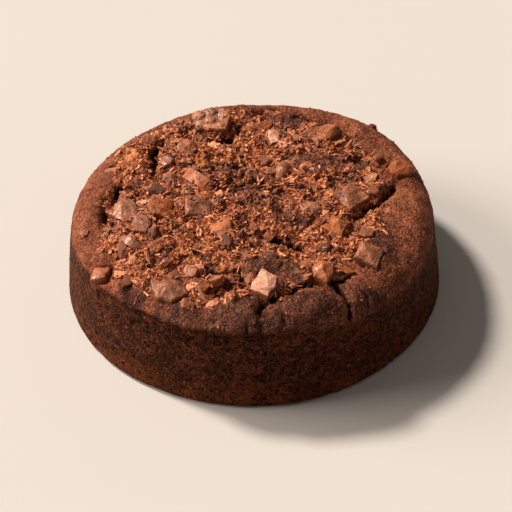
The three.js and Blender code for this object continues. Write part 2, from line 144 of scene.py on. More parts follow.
class Recipe:
    """A material under construction."""

    def __init__(self, name: str) -> None:
        """Starts an empty material.

        Args:
            name: the material's name.
        """
        self.material = bpy.data.materials.new(name)
        self.material.use_nodes = True
        self.nodes = self.material.node_tree.nodes
        self.links = self.material.node_tree.links
        self.nodes.clear()

    def add(self, kind: str, settings: dict[str, object], inputs: dict[object, object],
            output: object = 0) -> Wire:
        """Adds a node.

        Args:
            kind: the node's type.
            settings: properties, which are set before the sockets.
            inputs: value or wire by socket name or number.
            output: name or number of the output to return.

        Returns:
            The chosen output.
        """
        node = self.nodes.new(kind)
        for name, value in settings.items():
            setattr(node, name, value)
        for key, value in inputs.items():
            if isinstance(value, Wire):
                self.links.new(value.socket, node.inputs[key])
            else:
                node.inputs[key].default_value = value
        return Wire(self, node.outputs[output])

    def place(self) -> Wire:
        """Object coordinates."""
        return self.add("ShaderNodeTexCoord", {}, {}, "Object")

    def attribute(self, name: str) -> Wire:
        """A number stored on the mesh."""
        return self.add("ShaderNodeAttribute", {"attribute_name": name}, {}, "Fac")

    def grain(self, scale: float, detail: float = 2.0, roughness: float = 0.5, distortion: float = 0.0,
              where: Wire | None = None, output: object = 0) -> Wire:
        """Noise, scale in cycles a metre, on object coordinates unless others are given."""
        sockets = {"Vector": where or self.place(), "Scale": scale, "Detail": detail,
                   "Roughness": roughness, "Distortion": distortion}
        return self.add("ShaderNodeTexNoise", {}, sockets, output)

    def warped(self, scale: float, amount: float) -> Wire:
        """Object coordinates pushed about by noise, by up to half of amount in metres."""
        push = self.add("ShaderNodeVectorMath", {"operation": "SUBTRACT"}, {
            0: self.grain(scale, 3.0, output="Color"), 1: (0.5, 0.5, 0.5)})
        return self.add("ShaderNodeVectorMath", {"operation": "MULTIPLY_ADD"}, {
            0: push, 1: (amount, amount, amount), 2: self.place()})

    def cells(self, scale: float, warp_scale: float = 1.7, warp: float = 0.8) -> tuple[Wire, Wire]:
        """Ragged grains.

        Args:
            scale: grains in a metre.
            warp_scale: cycles of the raggedness in a grain.
            warp: how far it reaches, in grains.

        Returns:
            A random tone for each grain, and the distance from its middle, in grains.
        """
        sockets = {"Vector": self.warped(warp_scale * scale, warp / scale), "Scale": scale}
        draw = self.add("ShaderNodeTexVoronoi", {}, sockets, "Color")
        return (self.add("ShaderNodeSeparateColor", {}, {0: draw}, 0),
                self.add("ShaderNodeTexVoronoi", {}, sockets, "Distance"))

    def spots(self, scale: float, size: float, share: float) -> Wire:
        """Ragged spots: 1 inside, 0 outside.

        Args:
            scale: cells in a metre.
            size: how far a spot reaches, as a share of its cell.
            share: how many of the cells have a spot.

        Returns:
            The mask.
        """
        tone, reach = self.cells(scale, 2.2, 0.9)
        return (1.0 - reach.step(0.6 * size, size)) * tone.step(0.98 - share, 1.0 - share)

    def blend(self, share: object, first: object, second: object) -> Wire:
        """Mixes two colours by a share."""
        settings = {"data_type": "RGBA", "clamp_factor": True}
        return self.add("ShaderNodeMix", settings, {0: share, 6: first, 7: second}, 2)

    def ramp(self, value: Wire, tones: Tones, low: float, high: float) -> Wire:
        """Colours a value.

        Args:
            value: what is coloured.
            tones: its colours, the middle one half-way between the ends.
            low: where the dark end lies.
            high: where the light end lies.

        Returns:
            The colour.
        """
        colour = self.add("ShaderNodeValToRGB", {}, {0: value})
        stops = colour.socket.node.color_ramp.elements
        stops.new(0.5)
        places = (low, (low + high) / 2, high)
        for stop, place, tone in zip(stops, places, (tones.dark, tones.mid, tones.light)):
            stop.position = place
            stop.color = tone
        return colour

    def bump(self, height: Wire, distance: float, strength: float = 1.0) -> Wire:
        """Normal bent by a height field, distance in metres."""
        sockets = {"Height": height, "Distance": distance, "Strength": strength}
        return self.add("ShaderNodeBump", {}, sockets)

    def finish(self, sockets: dict[str, object]) -> Material:
        """Closes the material with a Principled shader.

        Args:
            sockets: value or wire by socket name.

        Returns:
            The material.
        """
        surface = self.add("ShaderNodeBsdfPrincipled", {}, sockets)
        output = self.nodes.new("ShaderNodeOutputMaterial")
        self.links.new(surface.socket, output.inputs["Surface"])
        return self.material


# ---- finishes
@dataclass(frozen=True)
class BakedFinish:
    """The baked cake: torn crumb and fine-grained crust on top, porous dark crumb round the wall, with
    painted shade in its pores, cracks and dips.
    """

    crumb: Tones = Tones(srgb(60, 26, 11), srgb(160, 88, 50), srgb(222, 136, 88))
    earth: Tones = Tones(srgb(36, 17, 11), srgb(106, 59, 44), srgb(168, 108, 84))
    crust: Tones = Tones(srgb(84, 42, 27), srgb(116, 62, 41), srgb(150, 88, 60))
    patch: Tones = Tones(srgb(46, 25, 19), srgb(74, 42, 32), srgb(106, 65, 50))
    wall: Tones = Tones(srgb(27, 11, 4), srgb(60, 27, 11), srgb(110, 56, 27))
    foot: Colour = srgb(118, 58, 22)
    fleck: Colour = srgb(170, 84, 38)
    # painted shade: the colour that pores and hollows are darkened towards
    pit: Colour = srgb(12, 4, 2)
    grit_scale: float = 1150.0
    pebble_scale: float = 430.0
    relief: float = 1.0 * MM
    roughness: float = 0.55
    specular: float = 0.05

    def build(self) -> Material:
        """Makes the material, which reads the marks on the cake's mesh.

        Returns:
            The material.
        """
        recipe = Recipe("baked_crumb")
        crumb, patch, hollow, wall, foot = map(recipe.attribute, MARKS)
        grit, grit_reach = recipe.cells(self.grit_scale)
        pebble, pebble_reach = recipe.cells(self.pebble_scale)
        medium = recipe.grain(300.0, 4.0, 0.65)
        broad = recipe.grain(70.0, 4.0, 0.62)
        clods = grit * 0.3 + pebble * 0.25 + medium * 0.45
        torn = recipe.ramp(clods, self.crumb, 0.36, 0.64)
        earthy = recipe.ramp(clods, self.earth, 0.36, 0.64)
        torn = recipe.blend(recipe.grain(90.0, 3.0, 0.6).step(0.42, 0.54) * 0.85, torn, earthy)
        grains = grit * 0.32 + pebble * 0.12 + broad * 0.56
        baked = recipe.ramp(grains, self.crust, 0.34, 0.66)
        dark = recipe.ramp(grains, self.patch, 0.34, 0.66)
        top = recipe.blend(crumb, recipe.blend(patch * 0.9, baked, dark), torn)
        side = recipe.ramp(grit * 0.4 + pebble * 0.2 + broad * 0.4, self.wall, 0.22, 0.78)
        side = recipe.blend((foot * (broad * 2.4 - 0.8)).clamped() * 0.6, side, self.foot)
        colour = recipe.blend(wall, top, side)
        colour = recipe.blend(recipe.spots(260.0, 0.24, 0.06) * 0.6, colour, self.fleck)
        # painted shade: pores are darkened nearly to black, besides their bump
        pits = recipe.spots(500.0, 0.4, 0.45) + recipe.spots(200.0, 0.25, 0.34)
        pitted = (pits * (0.15 + 0.85 * wall)).clamped() * (1.0 - crumb)
        colour = recipe.blend(pitted * 0.9, colour, self.pit)
        # painted shade: cracks, sunken dips and the groove under the lip are darkened towards the pit
        # shade colour
        colour = recipe.blend((hollow * 0.9).clamped(), colour, self.pit)
        rounded = grit_reach * -0.5 - pebble_reach * (0.25 + 0.9 * crumb)
        height = rounded + medium * (0.3 + 0.9 * crumb) - pitted * 0.9
        return recipe.finish({
            "Base Color": colour, "Roughness": self.roughness + 0.3 * grit,
            "Normal": recipe.bump(height, self.relief), "Specular IOR Level": self.specular})


@dataclass(frozen=True)
class ChocolateFinish:
    """Broken chocolate: one colour on its lid and one on its sides, partly bloom and partly painted light
    and shade, with waves and a dusting.
    """

    name: str
    lid: Colour
    side: Colour
    dust: Colour = srgb(120, 62, 35)
    gloss: Colour = srgb(255, 226, 200)
    roughness: float = 0.38
    coat: float = 0.15
    streak_turn: Triple = (0.5, 0.3, 0.7)
    streak_stretch: Triple = (1.0, 1.0, 4.0)

    def build(self) -> Material:
        """Makes the material, which reads how far each vertex belongs to the lid.

        Returns:
            The material.
        """
        recipe = Recipe(self.name)
        broad = recipe.grain(120.0, 3.0, 0.55, 0.9)
        fine = recipe.grain(900.0, 4.0, 0.65)
        drawn = recipe.add("ShaderNodeMapping", {}, {
            "Vector": recipe.place(), "Rotation": self.streak_turn, "Scale": self.streak_stretch})
        streak = recipe.grain(170.0, 4.0, 0.6, where=drawn)
        flow = broad * 0.5 + streak * 0.35 + fine * 0.15
        upper = recipe.ramp(flow, Tones.about(self.lid, 1.55), 0.38, 0.62)
        lower = recipe.ramp(flow, Tones.about(self.side, 1.5), 0.38, 0.62)
        dust = recipe.grain(480.0, 4.0, 0.72).step(0.58, 0.64)
        # painted light and shade, partly bloom: upward faces take the lid colour, the other faces the
        # side colour
        colour = recipe.blend(recipe.attribute("lid"), lower, upper)
        relief = recipe.bump(broad * 1.1 + streak * 0.7 + fine * 0.25 + dust * 0.2, 1.6 * MM, 0.85)
        return recipe.finish({
            "Base Color": recipe.blend(dust * 0.6, colour, self.dust), "Normal": relief,
            "Roughness": self.roughness + 0.2 * fine + 0.3 * dust, "Specular IOR Level": 0.3,
            "Coat Weight": self.coat, "Coat Roughness": 0.2, "Coat Tint": self.gloss, "IOR": 1.48})


@dataclass(frozen=True)
class ShavingFinish:
    """Shavings and crumbs: each has its own tone, stored on the mesh, between three colours."""

    name: str
    tones: Tones
    roughness: float

    def build(self) -> Material:
        """Makes the material.

        Returns:
            The material.
        """
        recipe = Recipe(self.name)
        fine = recipe.grain(1100.0, 4.0, 0.65)
        tone = recipe.attribute("tone") * 0.75 + fine * 0.25
        return recipe.finish({
            "Base Color": recipe.ramp(tone, self.tones, 0.1, 0.86),
            "Roughness": self.roughness + 0.3 * fine, "Normal": recipe.bump(fine, 0.5 * MM, 0.7),
            "Specular IOR Level": 0.3})


@dataclass(frozen=True)
class FloorFinish:
    """Plain pale studio floor."""

    colour: Colour = (0.53, 0.468, 0.42, 1.0)
    shade: Colour = (0.478, 0.419, 0.372, 1.0)

    def build(self) -> Material:
        """The finish as a material."""
        recipe = Recipe("pale_floor")
        return recipe.finish({
            "Base Color": recipe.blend(recipe.grain(3.0) * 0.12, self.colour, self.shade),
            "Roughness": 0.85})


# ---- meshes
def new_piece(name: str, mesh: bpy.types.Mesh, finish: Material) -> Piece:
    """Puts a mesh in the scene as a piece.

    Args:
        name: the piece's name.
        mesh: its mesh, in place.
        finish: its material.

    Returns:
        The object.
    """
    piece = bpy.data.objects.new(name, mesh)
    bpy.context.collection.objects.link(piece)
    mesh.materials.clear()
    mesh.materials.append(finish)
    return piece


def copy_of_node(node: str) -> Net:
    """Copies a CAD node's mesh.

    Args:
        node: the node's name.

    Returns:
        The copy, with its corners merged.
    """
    form = bmesh.new()
    form.from_mesh(frame["nodes"][node].data)
    bmesh.ops.remove_doubles(form, verts=form.verts, dist=0.002 * MM)
    return form


def ease(form: Net, verts: Iterable[bmesh.types.BMVert], factor: float, rounds: int) -> None:
    """Moves vertices towards the middle of their neighbours, a number of times."""
    for _ in range(rounds):
        bmesh.ops.smooth_vert(form, verts=verts, factor=factor, use_axis_x=True, use_axis_y=True,
                              use_axis_z=True)


def wear(form: Net, edges: Iterable[bmesh.types.BMEdge], width: float) -> None:
    """Rounds edges by a width, and leaves the form in triangles."""
    bmesh.ops.bevel(form, geom=edges, offset=width, offset_type="OFFSET", affect="EDGES", segments=2,
                    profile=0.5, material=-1, clamp_overlap=True)
    bmesh.ops.triangulate(form, faces=form.faces)


def refine(form: Net, longest: float, rounds: int) -> None:
    """Splits the edges that are too long.

    Args:
        form: a form in triangles.
        longest: the length from which an edge is split.
        rounds: how many times it is done.
    """
    for _ in range(rounds):
        long = [edge for edge in form.edges if edge.calc_length() > longest]
        bmesh.ops.subdivide_edges(form, edges=long, cuts=1, use_grid_fill=True)
        bmesh.ops.triangulate(form, faces=form.faces)


def stand(normal: Vector, upward: float) -> Matrix:
    """Turn that stands a thing on a slope, drawn to the vertical the more, the larger upward is."""
    up = (normal + Vector((0, 0, upward))).normalized()
    return up.to_track_quat("Z", "Y").to_matrix().to_4x4()


def store(mesh: bpy.types.Mesh, name: str, values: Sequence[float]) -> None:
    """Stores one number for each vertex of a mesh."""
    layer = mesh.attributes.new(name, "FLOAT", "POINT")
    layer.data.foreach_set("value", np.asarray(values, dtype=np.float32))


# ---- where the top is what
@dataclass(frozen=True)
class Spot:
    """An oval place on the top, in millimetres."""

    x: float
    y: float
    across: float
    along: float
    lift: float = 0.8

    def share(self, place: Vector) -> float:
        """How far a place lies inside: 1 in the middle, falling to 0 outside."""
        reach = ((place.x / MM - self.x) / self.across) ** 2 + ((place.y / MM - self.y) / self.along) ** 2
        return math.exp(-reach * reach)


@dataclass(frozen=True)
class Crack:
    """A crack or sunken gap along a line, in millimetres."""

    path: tuple[Pair, ...]
    width: float
    depth: float

    def share(self, place: Vector) -> float:
        """How close a place lies to the crack.

        Args:
            place: where on the top.

        Returns:
            1 on the crack, falling to 0 beside it.
        """
        here = Vector((place.x / MM, place.y / MM))
        nearest = 1e9
        for start, end in zip(self.path, self.path[1:]):
            first = Vector(start)
            along = Vector(end) - first
            share = min(1.0, max(0.0, (here - first).dot(along) / along.length_squared))
            nearest = min(nearest, (here - first - share * along).length)
        return math.exp(-(nearest / self.width) ** 2)


@dataclass
class TopMap:
    """What each place of the top is: torn crumb, smooth crust, dark patch or crack."""

    crumb_edge: tuple[float, ...] = (66, 72, 82, 82, 78, 88, 82, 68)
    edge_blur: float = 4
    patches: tuple[Spot, ...] = (
        Spot(9, -62, 23, 14), Spot(34, 26, 15, 11, 0.5), Spot(-3, 3, 15, 7, 0.2),
        Spot(18, -24, 14, 6, 0.3), Spot(24, -83, 23, 10, 1.6), Spot(-8, -86, 14, 9, 1.4),
        Spot(18, 67, 15, 7), Spot(-14, -68, 7, 6), Spot(2, 11, 12, 4, 0.0),
        Spot(-34, -86, 14, 8, 0.6), Spot(-62, -76, 12, 8, 0.4), Spot(62, -40, 8, 15, 0.9),
        Spot(4, -94, 52, 6, 0.0), Spot(60, -74, 22, 8, 0.0))
    cracks: tuple[Crack, ...] = (
        Crack(((-2, 78), (12, 81), (24, 76), (40, 67), (50, 60)), 3.2, 2.4),
        Crack(((49, -32), (52, -17), (62, -8), (69, 2), (74, 9)), 1.3, 2.8),
        Crack(((-71, 10), (-74, 0), (-77, -10), (-73, -18)), 2.0, 2.4),
        Crack(((-50, 50), (-55, 40), (-55, 26), (-51, 12)), 1.6, 2.8),
        Crack(((-38, 60), (-34, 54), (-20, 49), (-10, 58)), 2.0, 2.4),
        Crack(((-22, 5), (-10, 7), (4, 9)), 1.6, 2.2),
        Crack(((5, -33), (15, -39), (27, -43)), 1.5, 2.4),
        Crack(((-27, -65), (-19, -61), (-6, -62), (-4, -70)), 1.2, 2.6),
        Crack(((-20, -81), (-17, -76), (-12, -73), (-3, -76)), 1.2, 2.6),
        Crack(((46, -63), (34, -68), (26, -70), (15, -76), (5, -84), (3, -90)), 1.2, 3.0),
        Crack(((39, -66), (43, -74), (45, -84), (44, -90)), 1.2, 2.6),
        Crack(((-30, 30), (-16, 24), (-4, 26), (6, 33)), 1.2, 1.8),
        Crack(((-72, -40), (-60, -33), (-40, -34), (-28, -42)), 1.1, 1.6),
        Crack(((8, 58), (20, 50), (26, 38)), 1.3, 1.8))

    def crumb(self, place: Vector) -> float:
        """Tells torn crumb from smooth crust.

        Args:
            place: where on the top.

        Returns:
            The share of torn crumb.
        """
        edges = self.crumb_edge
        angle = math.atan2(place.y, place.x) / (2 * math.pi) % 1 * len(edges)
        first = int(angle)
        turned = smooth(angle - first, 0, 1)
        edge = edges[first % len(edges)] * (1 - turned) + edges[(first + 1) % len(edges)] * turned
        ragged = 6 * noise.noise(place * 70) + 4 * noise.noise(place * 190)
        reach = math.hypot(place.x, place.y) / MM + ragged
        return 1 - smooth(reach, edge - self.edge_blur, edge + self.edge_blur)

    @staticmethod
    def ragged(place: Vector, scale: float, amount: float) -> Vector:
        """A place pushed sideways by noise, amount in millimetres."""
        push = Vector((noise.noise(place * scale), noise.noise(place * scale + Vector((5, 5, 5))), 0))
        return place + amount * MM * push

    def patch(self, place: Vector) -> float:
        """Share of smooth dark crust at a place."""
        moved = self.ragged(place, 160, 4)
        return max(spot.share(moved) for spot in self.patches)

    def swell(self, place: Vector) -> float:
        """Height that the smooth dark crust stands up by, in metres."""
        moved = self.ragged(place, 160, 3)
        return max(spot.lift * spot.share(moved) for spot in self.patches) * MM

    def crack(self, place: Vector) -> float:
        """Extra depth of the cracks at a place, in metres."""
        moved = self.ragged(self.ragged(place, 120, 2.4), 400, 1.1)
        return max(crack.depth * crack.share(moved) for crack in self.cracks) * MM


def scoops(place: Vector, size: float) -> float:
    """Height, 0 to about 1, of shallow bowls that meet in sharp ridges, as broken chocolate has."""
    return noise.voronoi(place / size)[0][0] ** 2


# ---- the baked cake
@dataclass
class BakedCake:
    """The cake itself: a fine lathe laid over the CAD solid, with crags, cracks and pores.

    A pair of heights or shares says where a change begins and where it ends.
    """

    top: TopMap
    chocolate: BVHTree
    node: str = "cake"
    columns: int = 620
    wall_rings: int = 26
    shoulder_rings: int = 22
    top_rings: int = 108
    foot_radius: float = 97 * MM
    wall_radius: float = 110 * MM
    wall_height: float = 34 * MM
    fan_radius: float = 80 * MM
    lowest_ring: float = 0.4 * MM
    slack: float = 0.01 * MM
    far: float = 120 * MM
    foot_edge: float = 1.5 * MM
    shoulder_from: float = 25 * MM
    top_from: float = 30 * MM
    shard: float = 5.4 * MM
    crack_full: float = 2.4 * MM
    pores: tuple[Triple, ...] = ((7.5 * MM, 1.2, 0.16), (3.6 * MM, 0.7, 0.22))
    pore_edge: Pair = (0.06, 0.24)
    stained: Pair = (4 * MM, 17 * MM)
    layered: Pair = (12 * MM, 22 * MM)
    lip_height: float = 46.5 * MM
    lip_wave: float = 1.6 * MM
    lip_begins: Pair = (205, 219)
    lip_ends: Pair = (272, 284)
    lip_ridge: Pair = (1.6, 0.65)
    lip_groove: Triple = (1.3, 1.9, 0.9)
    bedding: float = 1.5 * MM
    bank_share: float = 0.42
    bank_from: float = 0.4 * MM
    bank_reach: float = 5 * MM
    bank_below: float = 0.7 * MM
    skirt: float = 4 * MM
    skirt_gap: float = 1.2 * MM
    body: Piece = field(init=False)

    def build(self) -> Piece:
        """Makes the piece that stands for the CAD cake.

        Returns:
            The cake's object.
        """
        tree = BVHTree.FromBMesh(copy_of_node(self.node))
        form = self.lathe()
        self.lay_over(form, tree)
        mesh = bpy.data.meshes.new("baked_cake")
        self.roughen(form, mesh)
        self.body = new_piece("baked_cake", mesh, BakedFinish().build())
        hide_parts(self.node)
        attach(self.body, "root")
        return self.body

    def section(self) -> list[Vector]:
        """Nominal section: flat foot, straight wall, quarter-round shoulder and flat top.

        Returns:
            Its corners, from the middle of the foot to the middle of the top.
        """
        reach = self.wall_radius - self.fan_radius
        level = self.wall_height + reach
        points = [(0, 0), (self.foot_radius / 2, 0), (self.foot_radius, 0)]
        for ring in range(self.wall_rings):
            rise = (self.wall_height - self.lowest_ring) * ring / self.wall_rings
            points.append((self.wall_radius, self.lowest_ring + rise))
        for ring in range(self.shoulder_rings):
            bend = 0.5 * math.pi * ring / self.shoulder_rings
            points.append((self.fan_radius + reach * math.cos(bend),
                           self.wall_height + reach * math.sin(bend)))
        for ring in range(self.top_rings + 1):
            points.append((self.fan_radius * (1 - ring / self.top_rings), level))
        return [Vector((out, 0, height)) for out, height in points]

    def lathe(self) -> Net:
        """Spins the nominal section round.

        Returns:
            A closed mesh.
        """
        form = bmesh.new()
        corners = [form.verts.new(point) for point in self.section()]
        edges = [form.edges.new(pair) for pair in zip(corners, corners[1:])]
        bmesh.ops.spin(form, geom=corners + edges, cent=(0, 0, 0), axis=(0, 0, 1),
                       angle=2 * math.pi, steps=self.columns, use_merge=True)
        bmesh.ops.remove_doubles(form, verts=form.verts, dist=0.001 * MM)
        bmesh.ops.recalc_face_normals(form, faces=form.faces)
        return form

    def aim(self, place: Vector) -> tuple[Vector, Vector]:
        """Aims the ray that carries a nominal place onto the CAD solid.

        Args:
            place: a corner of the lathe.

        Returns:
            The ray's start and direction.
        """
        around = Vector((place.x, place.y, 0))
        level = self.wall_height + self.wall_radius - self.fan_radius
        if place.z < self.slack:
            return place + DOWN * self.far, Vector((0, 0, 1))
        if place.z > level - self.slack:
            return place - DOWN * self.far, DOWN
        if place.z < self.wall_height:
            return place + around.normalized() * self.far, -around.normalized()
        heart = around.normalized() * self.fan_radius + Vector((0, 0, self.wall_height))
        outward = (place - heart).normalized()
        return heart + outward * self.far, -outward

    def lay_over(self, form: Net, tree: BVHTree) -> None:
        """Moves every vertex of the lathe onto the CAD solid, then eases the facets of the top.

        Args:
            form: the lathe.
            tree: the CAD solid.
        """
        for vertex in form.verts:
            hit = tree.ray_cast(*self.aim(vertex.co))[0]
            if hit is not None:
                vertex.co = hit
        upper = [vertex for vertex in form.verts if vertex.co.z > self.top_from]
        for vertex in upper:
            vertex.co.z = self.bank(vertex.co)
        ease(form, upper, 0.5, 2)

    def lid_over(self, place: Vector) -> float | None:
        """Height of the chocolate over a place, or None where there is none."""
        hit = self.chocolate.ray_cast(Vector((place.x, place.y, self.far)), DOWN)[0]
        return hit.z if hit is not None else None

    def bank(self, place: Vector) -> float:
        """Banks the crumb up under and against the chocolate.

        Args:
            place: where on the top.

        Returns:
            The crumb's height there.
        """
        lid = self.lid_over(place)
        if lid is not None:
            return max(place.z, lid - self.bedding)
        edge = self.chocolate.find_nearest(place + Vector((0, 0, self.skirt)))[0]
        gap = math.hypot(edge.x - place.x, edge.y - place.y)
        height = max(place.z, edge.z - self.skirt) if gap < self.skirt_gap else place.z
        uneven = self.bank_share + 0.35 * noise.noise(place * 130)
        close = 1 - smooth(gap, self.bank_from, self.bank_reach)
        return height + close * uneven * max(0.0, edge.z - self.bank_below - height)

    @staticmethod
    def shards(place: Vector, size: float) -> float:
        """Surface broken into small tilted plates.

        Args:
            place: where on it.
            size: a plate's size.

        Returns:
            The height, from -1 to 1.
        """
        heart = noise.voronoi(place / size)[1][0]
        lean = noise.cell_vector(heart * 57.3) * 2 - Vector((1, 1, 1))
        return (place / size - heart).dot(lean) + 0.5 * lean.z

    def top_relief(self, place: Vector, crumb: float, patch: float) -> float:
        """Fine relief of the top: torn crumb, or crust with folds in it.

        Args:
            place: where on the top.
            crumb: the share of torn crumb there.
            patch: the share of smooth dark crust there.

        Returns:
            The height in metres.
        """
        rough = crumb * (1 - 0.85 * patch)
        moved = self.top.ragged(place, 260, 1.8)
        plates = 0.75 * self.shards(moved, self.shard) + 0.4 * self.shards(moved * 1.3, 0.45 * self.shard)
        crags = noise.ridged_multi_fractal(moved * 120, 0.9, 2.1, 4, 1.0, 2.0) - 1.0
        grit = noise.fractal(place * 700, 0.7, 2.1, 3)
        folds = abs(noise.noise(self.top.ragged(place, 90, 4) * 75))
        swell = noise.fractal(place * 150, 1.0, 2.0, 3)
        torn = 1.1 * plates + 1.3 * crags + 0.5 * grit
        crust = 0.5 * swell + 0.2 * grit - 0.9 * (1 - smooth(folds, 0.0, 0.12)) * (0.3 + 0.7 * patch)
        return (rough * torn + (1 - rough) * crust) * MM

    def wall_relief(self, place: Vector) -> float:
        """Fine relief of the wall: a slow swell, grit, open pores and layers near the foot.

        Args:
            place: where on the wall.

        Returns:
            The height in metres.
        """
        swell = 0.2 * noise.fractal(place * 120, 1.0, 2.0, 3)
        swell += 0.1 * noise.fractal(place * 700, 1.0, 2.0, 2)
        pores = 0.0
        for size, depth, share in self.pores:
            distances, hearts = noise.voronoi(self.top.ragged(place, 300, 1.4) / size)
            if noise.cell(hearts[0] * 91.7) < share:
                pores += depth * (1 - smooth(distances[0], *self.pore_edge))
        layers = noise.noise(Vector((place.x * 60, place.y * 60, place.z * 420)))
        low = 1 - smooth(place.z, *self.layered)
        return (swell - pores - 0.5 * low * smooth(layers, 0.25, 0.45)) * MM

    def lip(self, place: Vector) -> float:
        """Thin overhanging edge of crust round the front left.

        Args:
            place: where on the cake.

        Returns:
            How far the crust stands out there, in metres.
        """
        angle = math.degrees(math.atan2(place.y, place.x)) % 360
        there = smooth(angle, *self.lip_begins) * (1 - smooth(angle, *self.lip_ends))
        middle = self.lip_height + self.lip_wave * noise.noise(Vector((angle * 0.09, 0, 0)))
        above = (place.z - middle) / MM
        rise, height = self.lip_ridge
        depth, below, width = self.lip_groove
        ridge = rise * math.exp(-(above / height) ** 2)
        groove = depth * math.exp(-((above + below) / width) ** 2)
        return there * (ridge - groove) * MM

    def roughen(self, form: Net, mesh: bpy.types.Mesh) -> None:
        """Adds the fine relief, and stores what each vertex is for the finish, with how deep it lies in a
        hollow for painted shade.

        Args:
            form: the lathe on the CAD solid; it is freed.
            mesh: the mesh that receives the result.
        """
        form.normal_update()
        marks: dict[str, list[float]] = {name: [] for name in MARKS}
        moves = []
        for vertex in form.verts:
            place = vertex.co.copy()
            upright = smooth(vertex.normal.z, 0.1, 0.5) if place.z > self.shoulder_from else 0.0
            patch = self.top.patch(place)
            crack = self.top.crack(place) * upright
            crumb = max(self.top.crumb(place), smooth(crack / MM, 0.3, 1.0)) * upright
            lid = self.lid_over(place)
            bare = 0.0 if lid is not None and lid > place.z else upright
            crack *= bare
            height = self.top_relief(place, crumb, patch) * bare - crack
            height += self.wall_relief(place) * (1 - upright) + self.top.swell(place) * bare
            if place.z <= self.foot_edge:
                height = 0.0
            lip = self.lip(place)
            moves.append(vertex.normal * height + Vector((place.x, place.y, 0)).normalized() * lip)
            marks["crumb"].append(crumb * (1 - 0.95 * patch))
            marks["patch"].append(patch)
            marks["wall"].append(1 - upright)
            marks["foot"].append(1 - smooth(place.z + 5 * MM * noise.noise(place * 50), *self.stained))
            # painted shade: how deep a vertex lies in a crack, a dip or under the lip, for darkening in
            # the finish
            sunken = max(0.0, crack / self.crack_full - 0.15) + max(0.0, -0.5 * height / MM - 0.08)
            marks["hollow"].append(min(1.0, sunken + max(0.0, -0.35 * lip / MM - 0.1)))
        for vertex, move in zip(form.verts, moves):
            vertex.co += move
        form.to_mesh(mesh)
        form.free()
        for name, values in marks.items():
            store(mesh, name, values)
        mesh.shade_smooth()


# ---- chocolate
class Hue(Enum):
    """Colours of chocolate, bare and bloomed, lit and melted; as lid and side colours they are partly
    painted light and shade.
    """

    PALE = srgb(214, 150, 122)
    BLUSH = srgb(158, 100, 70)
    MILK = srgb(136, 80, 53)
    AMBER = srgb(142, 72, 32)
    HONEY = srgb(158, 88, 48)
    RED = srgb(126, 60, 35)
    OLIVE = srgb(110, 64, 27)
    BROWN = srgb(108, 60, 38)
    DARK = srgb(76, 38, 22)


@dataclass
class Chunk:
    """One piece of chocolate: the CAD solid with worn edges and wavy broken faces."""

    node: str
    lid: Hue
    side: Hue
    bevel: float = 0.25 * MM
    scoop: float = 1.0 * MM
    wave: float = 0.35 * MM
    chip: float = 0.35 * MM
    grain: float = 8.5 * MM
    easing: int = 0
    roughness: float = 1.0
    sharp: float = math.radians(14)
    longest: float = 0.9 * MM
    proudest: float = 0.55 * MM
    lid_slopes: Pair = (0.45, 0.75)
    chipped: Pair = (-0.25, 0.45)

    def build(self, slot: str) -> Piece:
        """Makes the piece that stands for the CAD chunk.

        Args:
            slot: the record's slot; not used.

        Returns:
            The chunk's object.
        """
        form = copy_of_node(self.node)
        wear(form, [edge for edge in form.edges if edge.calc_face_angle(0.0) > self.sharp], self.bevel)
        refine(form, self.longest, 4)
        ease(form, form.verts, 0.4, self.easing)
        form.normal_update()
        # how far each face looks up, for the lid colour: partly bloom, partly painted light
        lids = [smooth(vertex.normal.z, *self.lid_slopes) for vertex in form.verts]
        middle = sum((vertex.co for vertex in form.verts), Vector()) / len(form.verts)
        for vertex in form.verts:
            inward = Vector((middle.x - vertex.co.x, middle.y - vertex.co.y, 0)).normalized()
            chip = self.chip * smooth(noise.noise(vertex.co * 230 + Vector((9, 9, 0))), *self.chipped)
            vertex.co += self.roughness * (vertex.normal * self.relief(vertex.co) + inward * chip)
        name = self.node + "_chocolate"
        mesh = bpy.data.meshes.new(name)
        form.to_mesh(mesh)
        form.free()
        store(mesh, "lid", lids)
        mesh.shade_smooth()
        piece = new_piece(name, mesh, ChocolateFinish(name, self.lid.value, self.side.value).build())
        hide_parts(self.node)
        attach(piece, "root")
        return piece

    def relief(self, place: Vector) -> float:
        """Relief of the broken face, mostly inward.

        Args:
            place: where on the chunk.

        Returns:
            The height in metres.
        """
        moved = TopMap.ragged(place, 180, 1.5)
        bowls = self.scoop * (scoops(moved, self.grain) - 0.35)
        waves = self.wave * noise.noise(place * 190) + 0.12 * MM * noise.fractal(place * 600, 1.0, 2.0, 2)
        return min(self.proudest, bowls + waves - 0.1 * MM)


